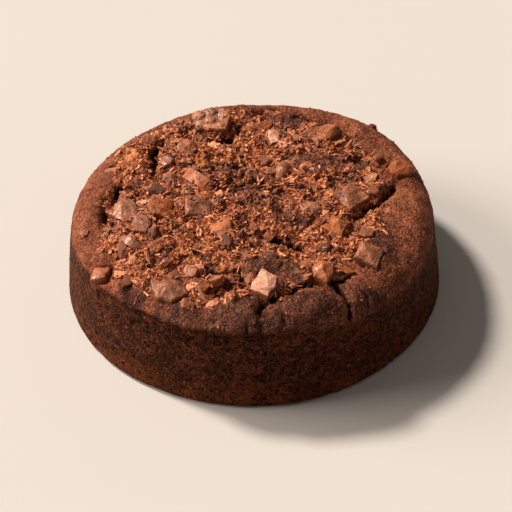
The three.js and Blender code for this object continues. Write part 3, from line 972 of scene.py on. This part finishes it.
@dataclass
class Chocolate:
    """Every chunk, plate and curl that has a CAD node of its own."""

    # lid and side colours of each chunk, partly bloom and partly painted light and shade
    hues: dict[str, tuple[Hue, Hue]] = field(default_factory=lambda: {
        "chunk_back_crown": (Hue.BLUSH, Hue.MILK), "chunk_back_flat": (Hue.AMBER, Hue.HONEY),
        "chunk_back_pale": (Hue.PALE, Hue.MILK), "chunk_back_amber": (Hue.HONEY, Hue.BROWN),
        "chunk_rim_amber": (Hue.AMBER, Hue.RED), "chunk_right_flat": (Hue.BLUSH, Hue.BROWN),
        "chunk_right_grey": (Hue.MILK, Hue.AMBER), "chunk_right_glossy": (Hue.HONEY, Hue.AMBER),
        "chunk_right_plate": (Hue.BLUSH, Hue.AMBER), "chunk_pyramid": (Hue.MILK, Hue.BROWN),
        "chunk_right_small": (Hue.MILK, Hue.BROWN), "chunk_front_sliver": (Hue.AMBER, Hue.AMBER),
        "chunk_crust_flap": (Hue.DARK, Hue.DARK), "chunk_front_cube": (Hue.HONEY, Hue.AMBER),
        "chunk_front_pale": (Hue.PALE, Hue.RED), "chunk_front_dark": (Hue.MILK, Hue.OLIVE),
        "chunk_left_corner": (Hue.HONEY, Hue.AMBER), "chunk_left_slab": (Hue.BLUSH, Hue.BROWN),
        "chunk_left_olive": (Hue.MILK, Hue.OLIVE), "chunk_left_glossy": (Hue.AMBER, Hue.OLIVE),
        "chunk_middle_grey": (Hue.MILK, Hue.BLUSH), "chunk_left_cube": (Hue.BROWN, Hue.BROWN),
        "chunk_left_facet": (Hue.MILK, Hue.BROWN), "chunk_back_grey": (Hue.MILK, Hue.BROWN),
        "chunk_back_facet": (Hue.HONEY, Hue.DARK), "chunk_left_wedge": (Hue.AMBER, Hue.DARK),
        "plate_middle": (Hue.HONEY, Hue.AMBER), "plate_front_red": (Hue.BLUSH, Hue.RED),
        "plate_front_amber": (Hue.AMBER, Hue.BROWN), "curl_left": (Hue.HONEY, Hue.AMBER),
        "curl_front": (Hue.MILK, Hue.BROWN), "chunk_pebble": (Hue.MILK, Hue.OLIVE)})
    melted: dict[str, tuple[int, float]] = field(default_factory=lambda: {
        "chunk_back_crown": (3, 0.8), "chunk_pebble": (4, 0.35), "curl_left": (2, 0.2),
        "curl_front": (2, 0.2)})
    pieces: list[Piece] = field(default_factory=list)

    def build(self) -> None:
        """Makes a chunk for each of the record's subparts that has a hue here."""
        for part in frame["record"]["subparts"]:
            if part["node"] in self.hues:
                lid, side = self.hues[part["node"]]
                easing, roughness = self.melted.get(part["node"], (0, 1.0))
                chunk = Chunk(part["node"], lid, side, easing=easing, roughness=roughness)
                self.pieces.append(chunk.build(part["material_slot"]))
        log.info("%d pieces of chocolate", len(self.pieces))


# ---- shavings and crumbs
class Form(Enum):
    """What a kind of scattered thing looks like."""

    SLIVER = "sliver"
    LUMP = "lump"
    CRUMB = "crumb"
    SLAB = "slab"


@dataclass(frozen=True)
class Kind:
    """One kind of scattered thing, sizes in millimetres."""

    name: str
    form: Form
    count: int
    long: Pair
    wide: Pair
    thick: Pair
    tilt: float
    sink: float
    finish: str
    slot: str
    on_chocolate: float = 0.0
    on_patch: float = 0.02
    on_crust: float = 0.0


class Cuttings:
    """The few shapes that a kind's pieces are copies of, one unit long, wide and thick."""

    worn: float = 0.05
    longest: float = 0.19

    def __init__(self, form: Form, chance: random.Random, count: int = 16) -> None:
        """Makes the shapes.

        Args:
            form: what they look like.
            chance: the random numbers.
            count: how many there are.
        """
        self.chance = chance
        makers = {Form.SLIVER: self._sliver, Form.LUMP: self._lump, Form.CRUMB: self._crumb,
                  Form.SLAB: self._slab}
        self.shapes = [self._arrays(makers[form]()) for _ in range(count)]

    @staticmethod
    def _arrays(form: Net) -> Shape:
        """Reads a mesh out and frees it.

        Args:
            form: the mesh.

        Returns:
            Its corners and its triangles.
        """
        bmesh.ops.triangulate(form, faces=form.faces)
        bmesh.ops.recalc_face_normals(form, faces=form.faces)
        form.verts.index_update()
        corners = np.array([vertex.co[:] for vertex in form.verts])
        triangles = np.array([[vertex.index for vertex in face.verts] for face in form.faces])
        form.free()
        return corners, triangles

    def _sliver(self) -> Net:
        """Makes a thin bowed and twisted shaving with a ragged outline.

        Returns:
            The shaving.
        """
        form = bmesh.new()
        bmesh.ops.create_grid(form, x_segments=3, y_segments=1, size=0.5)
        draw = self.chance.uniform
        bow, taper, twist = draw(-0.7, 1.6), draw(0.2, 1.0), draw(-0.9, 0.9)
        for vertex in form.verts:
            narrow = 1 + (taper - 1) * (vertex.co.x + 0.5)
            vertex.co.y = vertex.co.y * narrow * draw(0.6, 1.2) + draw(-0.08, 0.08)
            vertex.co.z = bow * (0.25 - vertex.co.x ** 2) * 2 + twist * vertex.co.x * vertex.co.y * 2
            vertex.co.x += draw(-0.12, 0.12)
        bmesh.ops.solidify(form, geom=form.faces, thickness=0.55)
        return form

    def _lump(self) -> Net:
        """Makes a lump of crust: a fine ball pushed out of shape by noise.

        Returns:
            The lump.
        """
        form = bmesh.new()
        bmesh.ops.create_icosphere(form, subdivisions=2, radius=0.5)
        start = Vector((self.chance.uniform(0, 50), self.chance.uniform(0, 50), 0))
        for vertex in form.verts:
            vertex.co *= 0.95 + 0.4 * noise.fractal(vertex.co * 3.0 + start, 0.8, 2.0, 3)
        return form

    def _crumb(self) -> Net:
        """Makes a tiny crumb with a few uneven facets.

        Returns:
            The crumb.
        """
        form = bmesh.new()
        bmesh.ops.create_cone(form, cap_ends=True, segments=5, radius1=0.5, radius2=0.3, depth=0.8)
        for vertex in form.verts:
            vertex.co *= self.chance.uniform(0.6, 1.25)
            vertex.co.z += self.chance.uniform(-0.15, 0.15)
        return form

    def _slab(self) -> Net:
        """Makes a broken piece of chocolate: a ragged slab with worn edges and wavy faces.

        Returns:
            The slab.
        """
        form = bmesh.new()
        draw = self.chance.uniform
        lean = draw(-0.35, 0.35)
        for corner in range(6):
            angle = (corner + draw(-0.4, 0.4)) / 6 * 2 * math.pi
            reach = draw(0.26, 0.62)
            for level, spread in ((0.5, 0.86), (-0.5, 1.0)):
                form.verts.new((spread * reach * math.cos(angle), spread * reach * math.sin(angle),
                                level + lean * math.cos(angle)))
        bmesh.ops.convex_hull(form, input=form.verts)
        wear(form, form.edges, self.worn)
        refine(form, self.longest, 2)
        start = Vector((draw(0, 50), 0, 0))
        for vertex in form.verts:
            vertex.co *= 1 + 0.3 * noise.fractal(vertex.co * 2.8 + start, 0.9, 2.0, 3)
        return form


class Joined:
    """Many copies gathered into one piece."""

    def __init__(self) -> None:
        """Starts with no copies."""
        self.corners: list[np.ndarray] = []
        self.triangles: list[np.ndarray] = []
        self.tones: list[np.ndarray] = []
        self.total = 0

    def add(self, shape: Shape, seat: Matrix, tone: float) -> None:
        """Adds a copy of a shape.

        Args:
            shape: its corners and triangles.
            seat: the matrix that carries it to its place.
            tone: a tone of its own, for the finish.
        """
        corners, triangles = shape
        matrix = np.array(seat)
        self.corners.append(corners @ matrix[:3, :3].T + matrix[:3, 3])
        self.triangles.append(triangles + self.total)
        self.tones.append(np.full(len(corners), tone))
        self.total += len(corners)

    def piece(self, name: str, finish: Material, slot: str) -> Piece:
        """The gathered copies as one object.

        Args:
            name: the piece's name.
            finish: its material, which may read each copy's tone.
            slot: the record's slot; not used.

        Returns:
            The object.
        """
        mesh = bpy.data.meshes.new(name)
        corners, triangles = np.concatenate(self.corners), np.concatenate(self.triangles)
        mesh.from_pydata(corners.tolist(), [], triangles.tolist())
        store(mesh, "tone", np.concatenate(self.tones))
        joined = new_piece(name, mesh, finish)
        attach(joined, "root")
        return joined


@dataclass(frozen=True)
class Fragment:
    """A small piece of chocolate that is baked fast to the crust, in millimetres and degrees."""

    x: float
    y: float
    size: Triple
    turn: float
    tip: float
    tone: float


@dataclass
class Fragments:
    """The small pieces that have a place of their own on the cake."""

    ground: BVHTree
    places: tuple[Fragment, ...] = (
        Fragment(-3, 69.5, (7.5, 6, 4.5), 30, 14, 0.3), Fragment(-58.5, 47, (8, 9, 3), 10, 16, 0.95),
        Fragment(-65, 8.5, (11, 3.6, 2.4), -8, 6, 0.6), Fragment(-56, 4, (8.5, 3.2, 2.2), 34, 10, 0.65),
        Fragment(-52, -52, (8.5, 3, 2.4), 12, 8, 0.5), Fragment(-43, -56, (7, 6, 2.6), 40, 14, 0.5),
        Fragment(-31, -84, (7, 10, 3), 20, 16, 0.75), Fragment(-23, -80, (12, 2.6, 2.6), 50, 10, 0.45),
        Fragment(-17, -70, (10, 7, 3.4), -20, 14, 0.6), Fragment(-10, -81, (4.4, 7, 2), 4, 6, 0.8),
        Fragment(-62, -67, (7, 6, 2.8), 24, 12, 0.55), Fragment(-86, -27, (7, 5.5, 2.6), 70, 10, 0.7),
        Fragment(66, 30, (7.5, 8.5, 3.4), 20, 16, 0.7), Fragment(67, 65, (4.4, 3.6, 1.6), 10, 0, 0.25),
        Fragment(-7, -36, (5.4, 4.6, 4), 10, 8, 0.2), Fragment(24, 36, (8.5, 5.5, 2.6), 60, 12, 0.6))

    sunk: float = 0.2
    upward: float = 1.4

    def build(self) -> Piece:
        """Makes one piece that holds them all.

        Returns:
            The joined piece.
        """
        chance = random.Random(5)
        joined = Joined()
        for place in self.places:
            above = Vector((place.x * MM, place.y * MM, ABOVE))
            hit, normal, _, _ = self.ground.ray_cast(above, DOWN)
            turn = (Matrix.Rotation(math.radians(place.turn), 4, "Z")
                    @ Matrix.Rotation(math.radians(place.tip), 4, "X"))
            size = [side * MM for side in place.size]
            spot = Matrix.Translation(hit - normal * self.sunk * size[2])
            seat = spot @ stand(normal, self.upward) @ turn @ Matrix.Diagonal((*size, 1.0))
            joined.add(Cuttings(Form.SLAB, chance, 1).shapes[0], seat, place.tone)
        finish = FINISHES["chocolate_fragment"].build()
        piece = joined.piece("baked_fragments", finish, "chocolate_milk")
        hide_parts("cake")
        return piece


@dataclass
class Topping:
    """Scatters one kind of thing over the top of the cake."""

    top: TopMap
    ground: BVHTree
    chocolate: BVHTree
    reach: float = 97 * MM
    steepest: float = 0.15
    upward: float = 0.6
    tries: int = 14
    clumps: Pair = (-0.1, 0.14)
    beside: Pair = (1 * MM, 4 * MM)

    def build(self, kind: Kind, seed: int) -> Piece:
        """Makes one piece that holds every copy of a kind.

        Args:
            kind: what is scattered.
            seed: starts the kind's own row of random numbers.

        Returns:
            The joined piece.
        """
        chance = random.Random(seed)
        shapes = Cuttings(kind.form, chance).shapes
        joined = Joined()
        placed = tried = 0
        while placed < kind.count and tried < self.tries * kind.count:
            tried += 1
            seat = self.seat(kind, chance)
            if seat is not None:
                joined.add(chance.choice(shapes), seat, chance.random())
                placed += 1
        piece = joined.piece(kind.name, FINISHES[kind.finish].build(), kind.slot)
        log.info("%s: %d placed of %d, %d triangles", kind.name, placed, kind.count,
                 len(piece.data.polygons))
        return piece

    def seat(self, kind: Kind, chance: random.Random) -> Matrix | None:
        """Picks a place for one copy.

        Args:
            kind: what is scattered.
            chance: the random numbers.

        Returns:
            The copy's matrix with its size in it, or None where the place doesn't suit it.
        """
        angle = chance.uniform(0, 2 * math.pi)
        reach = self.reach * math.sqrt(chance.random())
        above = Vector((reach * math.cos(angle), reach * math.sin(angle), ABOVE))
        hit, normal, _, _ = self.ground.ray_cast(above, DOWN)
        if hit is None or normal.z < self.steepest:
            return None
        share = self.top.crumb(hit)
        patch = self.top.patch(hit)
        clump = smooth(noise.noise(hit * 62) + 0.7 * noise.noise(hit * 190), *self.clumps)
        beside = 1 - smooth(self.chocolate.find_nearest(hit)[3], *self.beside)
        heaped = max(clump, beside)
        wanted = share * (1 - patch + patch * kind.on_patch) * heaped + (1 - share) * kind.on_crust
        if chance.random() > wanted:
            return None
        piece, tilted, _, _ = self.chocolate.ray_cast(above, DOWN)
        if piece is not None and piece.z > hit.z:
            if chance.random() > kind.on_chocolate:
                return None
            hit, normal = piece, tilted
        grade = chance.random()
        size = [(low + (high - low) * min(1.0, max(0.0, grade * chance.uniform(0.7, 1.3)))) * MM
                for low, high in (kind.long, kind.wide, kind.thick)]
        turn = Matrix.Rotation(chance.uniform(0, 2 * math.pi), 4, "Z")
        tilt = Euler((*(math.radians(chance.gauss(0, kind.tilt)) for _ in range(2)), 0))
        lift = Matrix.Translation(hit + normal * (0.5 - kind.sink) * size[2])
        posed = lift @ stand(normal, self.upward) @ turn @ tilt.to_matrix().to_4x4()
        return posed @ Matrix.Diagonal((*size, 1.0))


FINISHES = {name: ShavingFinish(name, Tones(srgb(*dark), srgb(*mid), srgb(*light)), roughness)
            for name, roughness, dark, mid, light in (
                ("amber_shaving", 0.45, (124, 60, 28), (182, 99, 53), (236, 152, 98)),
                ("brown_shaving", 0.45, (90, 42, 24), (156, 85, 50), (212, 132, 85)),
                ("dark_shaving", 0.45, (46, 21, 11), (78, 39, 22), (112, 60, 37)),
                ("melted_chocolate", 0.34, (120, 62, 35), (168, 96, 58), (218, 142, 100)),
                ("loose_crumb", 0.6, (84, 39, 22), (160, 84, 49), (218, 130, 82)),
                ("crust_lump", 0.62, (80, 40, 26), (124, 68, 45), (168, 101, 70)),
                ("chocolate_fragment", 0.34, (56, 28, 16), (130, 69, 39), (190, 114, 75)))}

KINDS = (
    Kind("crust_lumps", Form.LUMP, 280, (2.5, 10.0), (2.2, 8.0), (2.0, 4.4), 12, 0.78,
         "crust_lump", "crust"),
    Kind("melted_plates", Form.SLAB, 160, (3.0, 9.5), (2.4, 6.5), (0.7, 1.4), 13, 0.3,
         "melted_chocolate", "chocolate_milk", on_patch=0.01),
    Kind("amber_shavings", Form.SLIVER, 3800, (1.6, 5.6), (0.5, 1.6), (0.35, 0.8), 24, 0.25,
         "amber_shaving", "chocolate_amber", on_chocolate=0.008),
    Kind("brown_shavings", Form.SLIVER, 3400, (1.6, 5.4), (0.5, 1.7), (0.35, 0.8), 26, 0.25,
         "brown_shaving", "chocolate_milk", on_chocolate=0.008),
    Kind("dark_shavings", Form.SLIVER, 320, (1.2, 3.4), (0.6, 1.6), (0.4, 0.8), 20, 0.3,
         "dark_shaving", "chocolate_dark"),
    Kind("amber_slivers", Form.SLIVER, 900, (2.4, 6.5), (0.35, 0.7), (0.4, 0.8), 14, 0.2,
         "amber_shaving", "chocolate_amber", on_chocolate=0.01),
    Kind("loose_crumbs", Form.CRUMB, 8000, (0.5, 1.8), (0.5, 1.6), (0.4, 1.3), 40, 0.35,
         "loose_crumb", "crust", on_chocolate=0.01, on_patch=0.06, on_crust=0.012),
)


# ---- studio
@dataclass(frozen=True)
class Lamp:
    """A soft lamp far off: where it shines from, how strongly and how wide it looks, in degrees."""

    name: str
    come_from: Triple
    strength: float
    spread: float


@dataclass
class Studio:
    """Pale floor, soft light and the camera."""

    elevation: float = math.radians(41.3)
    distance: float = 0.6358
    target: Triple = (0.9 * MM, 0.0, 9.8 * MM)
    focal_pixels: float = 1166.6
    frame_pixels: float = 512.0
    sensor: float = 36.0
    lamps: tuple[Lamp, ...] = (
        Lamp("key", (-0.75, 0.5, 0.95), 4.4, 9), Lamp("fill", (-1.0, 0.1, 0.45), 3.5, 36))
    lamp_colour: Triple = (1.0, 0.96, 0.9)
    sky_colour: Triple = (1.0, 0.96, 0.92)
    sky_strength: float = 0.2
    floor_reach: float = 4.0

    def build(self) -> None:
        """Makes the floor, the lights and the camera."""
        self.floor()
        self.lights()
        self.camera()

    def floor(self) -> None:
        """Wide plain floor under the foot."""
        form = bmesh.new()
        bmesh.ops.create_grid(form, x_segments=1, y_segments=1, size=self.floor_reach)
        mesh = bpy.data.meshes.new("floor")
        form.to_mesh(mesh)
        form.free()
        new_piece("floor", mesh, FloorFinish().build())

    def lights(self) -> None:
        """Soft key from the back left, a wide fill from the left, and weak even surroundings."""
        for lamp in self.lamps:
            light = bpy.data.lights.new(lamp.name, "SUN")
            light.energy = lamp.strength
            light.angle = math.radians(lamp.spread)
            light.color = self.lamp_colour
            holder = bpy.data.objects.new(lamp.name, light)
            holder.rotation_euler = (-Vector(lamp.come_from)).to_track_quat("-Z", "Y").to_euler()
            bpy.context.collection.objects.link(holder)
        world = bpy.data.worlds.new("studio")
        world.use_nodes = True
        sky = world.node_tree.nodes["Background"].inputs
        sky["Color"].default_value = (*self.sky_colour, 1.0)
        sky["Strength"].default_value = self.sky_strength
        bpy.context.scene.world = world
        bpy.context.scene.view_settings.view_transform = "Standard"

    def camera(self) -> None:
        """The camera, as far off and as high as the photograph's."""
        lens = bpy.data.cameras.new("camera")
        lens.sensor_width = self.sensor
        lens.lens = self.focal_pixels / self.frame_pixels * self.sensor
        holder = bpy.data.objects.new("camera", lens)
        away = Vector((0, -math.cos(self.elevation), math.sin(self.elevation))) * self.distance
        holder.location = Vector(self.target) + away
        holder.rotation_euler = (-away).to_track_quat("-Z", "Y").to_euler()
        bpy.context.collection.objects.link(holder)
        bpy.context.scene.camera = holder


def tree_of(pieces: Iterable[Piece]) -> BVHTree:
    """Joins several pieces' meshes in a search tree.

    Args:
        pieces: the pieces.

    Returns:
        The tree.
    """
    form = bmesh.new()
    for piece in pieces:
        form.from_mesh(piece.data)
    tree = BVHTree.FromBMesh(form)
    form.free()
    return tree


def main() -> None:
    """Builds the cake, its chocolate, its toppings and the studio, in that order."""
    logging.basicConfig(level=logging.INFO, format="%(message)s")
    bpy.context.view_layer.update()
    top = TopMap()
    chocolate = Chocolate()
    chocolate.build()
    cake = BakedCake(top, tree_of(chocolate.pieces))
    cake.build()
    log.info("cake: %d faces", len(cake.body.data.polygons))
    fragments = Fragments(tree_of([cake.body])).build()
    topping = Topping(top, tree_of([cake.body]), tree_of([*chocolate.pieces, fragments]))
    for seed, kind in enumerate(KINDS):
        topping.build(kind, 11 + seed)
    Studio().build()


if __name__ == "__main__":
    main()
